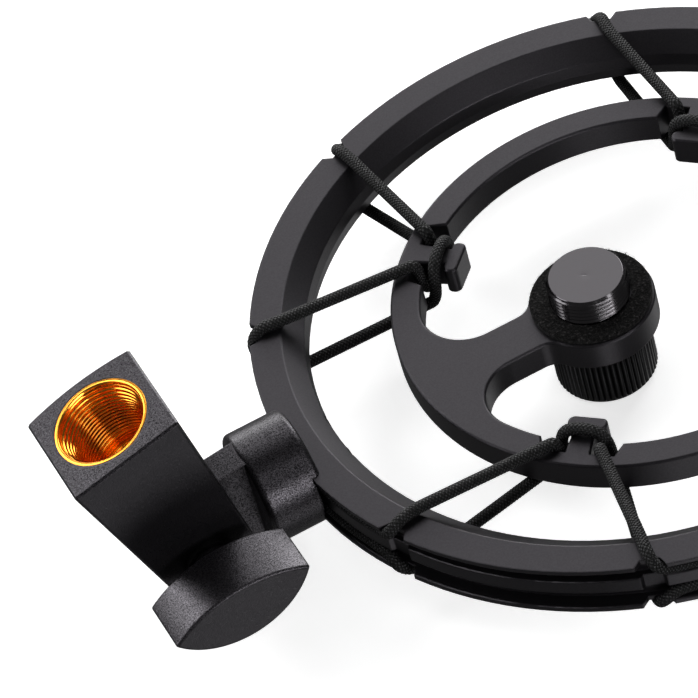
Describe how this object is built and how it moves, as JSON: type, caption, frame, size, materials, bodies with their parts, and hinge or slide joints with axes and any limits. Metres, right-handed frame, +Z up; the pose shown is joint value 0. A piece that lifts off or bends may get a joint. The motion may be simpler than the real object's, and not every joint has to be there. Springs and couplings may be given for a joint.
{
  "type": "microphone shock mount",
  "caption": "Ring-shaped elastic shock mount for a studio microphone: a grooved outer ring, a cord-hung inner frame with a threaded stud, and a tilting stand adaptor.",
  "frame": {"origin": "centre of the felt seat that the microphone stands on, at the foot of the stud's thread", "axes": "+Z up the microphone stud, +X away from the stand block, -Y the clamp knob's side"},
  "size_m": [0.1913, 0.148, 0.0526],
  "materials": {
    "ring_satin": "satin black coat",
    "frame_satin": "satin black coat",
    "elastic_cord": "black braided elastic",
    "crimp_steel": "crimped",
    "felt": "black felt",
    "stud_black": "black, semi-gloss, turned",
    "wheel_black": "black anodised, straight knurl",
    "nylon": "nylon",
    "powder_coat": "fine black powder coat",
    "screw_black": "black oxide",
    "block_coat": "fine black powder coat",
    "insert_gold": "bright, orange-gold anodised",
    "knob_black": "fine moulded texture",
    "zinc_steel": "zinc plated",
    "washer_black": "black"
  },
  "bodies": {
    "ring": {"outer_ring": "ring_satin", "upper_cord": "elastic_cord", "lower_cord": "elastic_cord", "upper_cord_ferrule": "crimp_steel", "lower_cord_ferrule": "crimp_steel", "ring_bracket": "powder_coat", "bracket_screws": "screw_black"},
    "cradle": {"inner_frame": "frame_satin", "felt_washer": "felt", "thrust_washer": "nylon"},
    "mic_screw": {"mic_stud": "stud_black", "thumb_wheel": "wheel_black"},
    "stand": {"stand_block": "block_coat", "thread_insert": "insert_gold", "clamp_nut": "zinc_steel", "friction_washer_near": "nylon", "friction_washer_far": "nylon"},
    "clamp_slide": {"clamp_washer": "washer_black"},
    "clamp_screw": {"clamp_knob": "knob_black", "clamp_rod": "zinc_steel"}
  },
  "joints": [
    {"name": "suspension", "type": "slide", "parent": "ring", "child": "cradle", "axis": [0, 0, 1], "range_m": [-0.006, 0.005], "stiffness_N_per_m": 1500, "springref_m": 0.0005, "deforming": ["upper_cord", "lower_cord"]},
    {"name": "mic_screw_turn", "type": "hinge", "parent": "cradle", "child": "mic_screw", "pos_m": [0, 0, 0], "axis": [0, 0, 1], "continuous": true},
    {"name": "stand_tilt", "type": "hinge", "parent": "ring", "child": "stand", "pos_m": [-0.0894, 0, -0.0056], "axis": [0, -1, 0], "range_deg": [-24, 174]},
    {"name": "clamp_travel", "type": "slide", "parent": "stand", "child": "clamp_slide", "axis": [0, -1, 0], "range_m": [0, 0.0015]},
    {"name": "clamp_turn", "type": "hinge", "parent": "clamp_slide", "child": "clamp_screw", "pos_m": [-0.0894, 0, -0.0056], "axis": [0, -1, 0], "range_deg": [0, 550]}
  ],
  "couplings": [
    {"joint": "clamp_turn", "follows": "clamp_travel", "rad_per_m": 6283.2}
  ]
}
